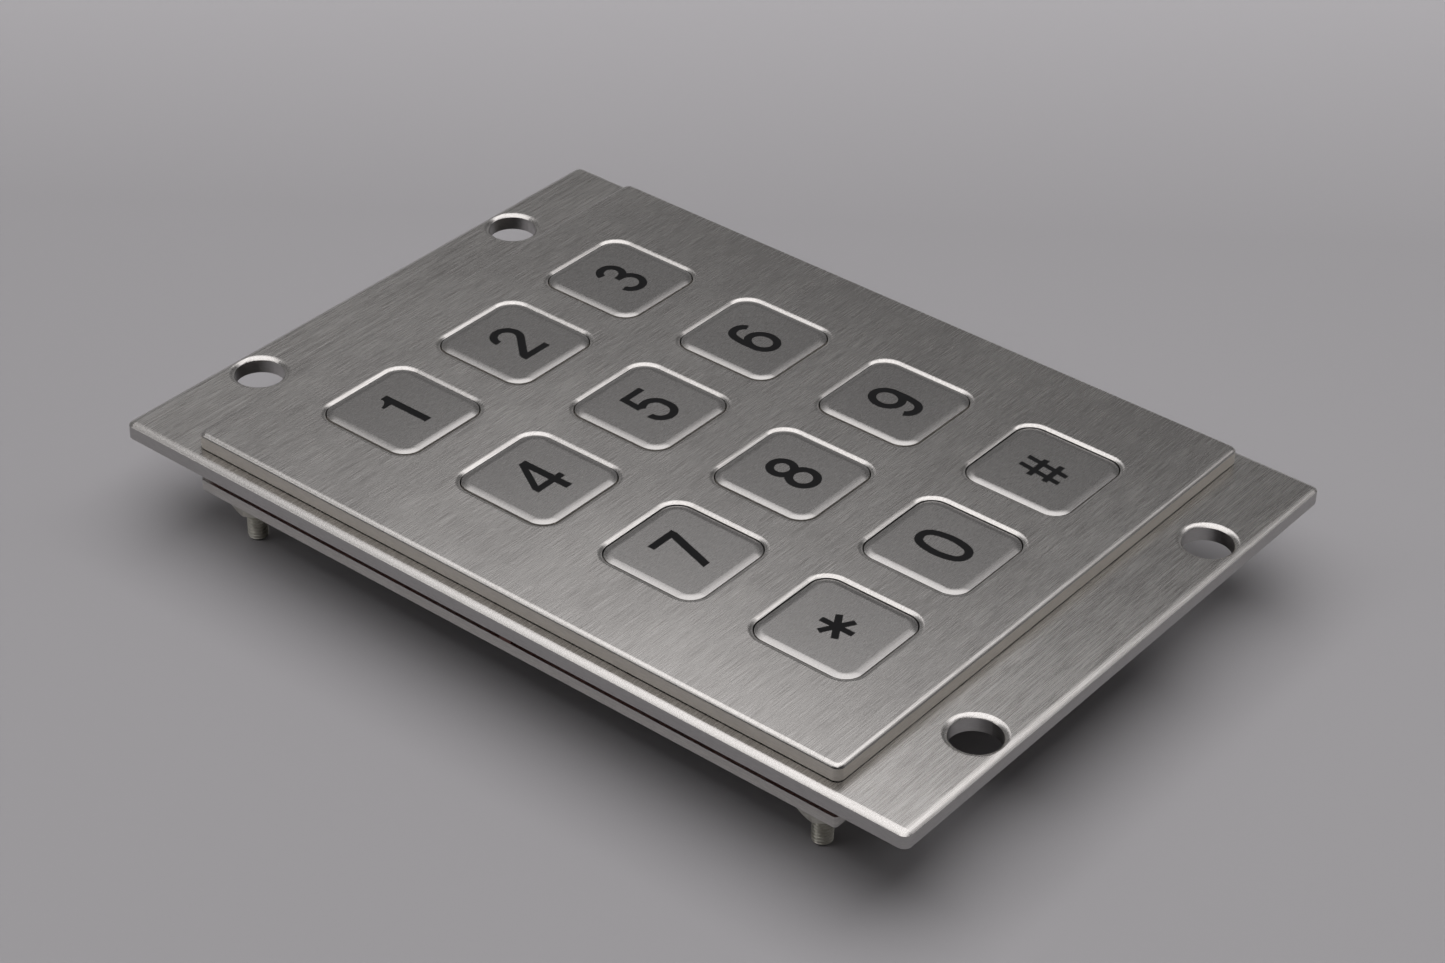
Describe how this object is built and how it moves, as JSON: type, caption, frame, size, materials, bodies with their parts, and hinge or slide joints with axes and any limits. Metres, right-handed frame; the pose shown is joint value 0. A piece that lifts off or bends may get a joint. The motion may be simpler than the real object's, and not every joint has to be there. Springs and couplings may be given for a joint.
{
  "type": "keypad access reader",
  "caption": "Flush-mounted stainless steel keypad: raised face with sprung square keys in rounded windows, drilled mounting flange, rear plate on welded studs and a shrouded header behind.",
  "frame": {"origin": "under the middle of the flange, at the ends of the four studs, which are the lowest points", "axes": "+Z out of the face, +Y up the keypad from the bottom row to the top row, +X to the right as read from the front"},
  "size_m": [0.0804, 0.1122, 0.0147],
  "materials": {
    "panel_steel": "brushed across the keypad's width, edges rolled and bright",
    "flange_steel": "brushed across the keypad's width, edges rolled and bright",
    "key_steel": "fine satin brush across the width, pillowed edge",
    "rear_steel": "mill finish, cut edges",
    "fastener_steel": "plain stainless, machined",
    "legend_black": "black paint fill",
    "gasket_black": "matt foam adhesive",
    "silicone_grey": "matt silicone",
    "board": "dark red-brown solder mask on glass epoxy",
    "contact_gold": "thin gold plating",
    "header_white": "moulded nylon",
    "pin_tin": "tin plating"
  },
  "bodies": {
    "root": {"front_panel": "panel_steel", "panel_gasket": "gasket_black", "mounting_flange": "flange_steel", "key_mat": "silicone_grey", "dome_1": "silicone_grey", "dome_2": "silicone_grey", "dome_3": "silicone_grey", "dome_4": "silicone_grey", "dome_5": "silicone_grey", "dome_6": "silicone_grey", "dome_7": "silicone_grey", "dome_8": "silicone_grey", "dome_9": "silicone_grey", "dome_star": "silicone_grey", "dome_0": "silicone_grey", "dome_hash": "silicone_grey", "circuit_board": "board", "contact_pads": "contact_gold", "header_housing": "header_white", "header_pins": "pin_tin", "rear_plate": "rear_steel", "weld_studs": "fastener_steel", "flat_washers": "fastener_steel", "hex_nuts": "fastener_steel"},
    "key_1_body": {"key_1": "key_steel", "legend_1": "legend_black"},
    "key_2_body": {"key_2": "key_steel", "legend_2": "legend_black"},
    "key_3_body": {"key_3": "key_steel", "legend_3": "legend_black"},
    "key_4_body": {"key_4": "key_steel", "legend_4": "legend_black"},
    "key_5_body": {"key_5": "key_steel", "legend_5": "legend_black"},
    "key_6_body": {"key_6": "key_steel", "legend_6": "legend_black"},
    "key_7_body": {"key_7": "key_steel", "legend_7": "legend_black"},
    "key_8_body": {"key_8": "key_steel", "legend_8": "legend_black"},
    "key_9_body": {"key_9": "key_steel", "legend_9": "legend_black"},
    "key_star_body": {"key_star": "key_steel", "legend_star": "legend_black"},
    "key_0_body": {"key_0": "key_steel", "legend_0": "legend_black"},
    "key_hash_body": {"key_hash": "key_steel", "legend_hash": "legend_black"}
  },
  "joints": [
    {"name": "key_1_press", "type": "slide", "parent": "root", "child": "key_1_body", "axis": [0, 0, -1], "range_m": [0, 0.00045], "stiffness_N_per_m": 3500, "springref_m": -0.0001, "deforming": ["dome_1"]},
    {"name": "key_2_press", "type": "slide", "parent": "root", "child": "key_2_body", "axis": [0, 0, -1], "range_m": [0, 0.00045], "stiffness_N_per_m": 3500, "springref_m": -0.0001, "deforming": ["dome_2"]},
    {"name": "key_3_press", "type": "slide", "parent": "root", "child": "key_3_body", "axis": [0, 0, -1], "range_m": [0, 0.00045], "stiffness_N_per_m": 3500, "springref_m": -0.0001, "deforming": ["dome_3"]},
    {"name": "key_4_press", "type": "slide", "parent": "root", "child": "key_4_body", "axis": [0, 0, -1], "range_m": [0, 0.00045], "stiffness_N_per_m": 3500, "springref_m": -0.0001, "deforming": ["dome_4"]},
    {"name": "key_5_press", "type": "slide", "parent": "root", "child": "key_5_body", "axis": [0, 0, -1], "range_m": [0, 0.00045], "stiffness_N_per_m": 3500, "springref_m": -0.0001, "deforming": ["dome_5"]},
    {"name": "key_6_press", "type": "slide", "parent": "root", "child": "key_6_body", "axis": [0, 0, -1], "range_m": [0, 0.00045], "stiffness_N_per_m": 3500, "springref_m": -0.0001, "deforming": ["dome_6"]},
    {"name": "key_7_press", "type": "slide", "parent": "root", "child": "key_7_body", "axis": [0, 0, -1], "range_m": [0, 0.00045], "stiffness_N_per_m": 3500, "springref_m": -0.0001, "deforming": ["dome_7"]},
    {"name": "key_8_press", "type": "slide", "parent": "root", "child": "key_8_body", "axis": [0, 0, -1], "range_m": [0, 0.00045], "stiffness_N_per_m": 3500, "springref_m": -0.0001, "deforming": ["dome_8"]},
    {"name": "key_9_press", "type": "slide", "parent": "root", "child": "key_9_body", "axis": [0, 0, -1], "range_m": [0, 0.00045], "stiffness_N_per_m": 3500, "springref_m": -0.0001, "deforming": ["dome_9"]},
    {"name": "key_star_press", "type": "slide", "parent": "root", "child": "key_star_body", "axis": [0, 0, -1], "range_m": [0, 0.00045], "stiffness_N_per_m": 3500, "springref_m": -0.0001, "deforming": ["dome_star"]},
    {"name": "key_0_press", "type": "slide", "parent": "root", "child": "key_0_body", "axis": [0, 0, -1], "range_m": [0, 0.00045], "stiffness_N_per_m": 3500, "springref_m": -0.0001, "deforming": ["dome_0"]},
    {"name": "key_hash_press", "type": "slide", "parent": "root", "child": "key_hash_body", "axis": [0, 0, -1], "range_m": [0, 0.00045], "stiffness_N_per_m": 3500, "springref_m": -0.0001, "deforming": ["dome_hash"]}
  ]
}
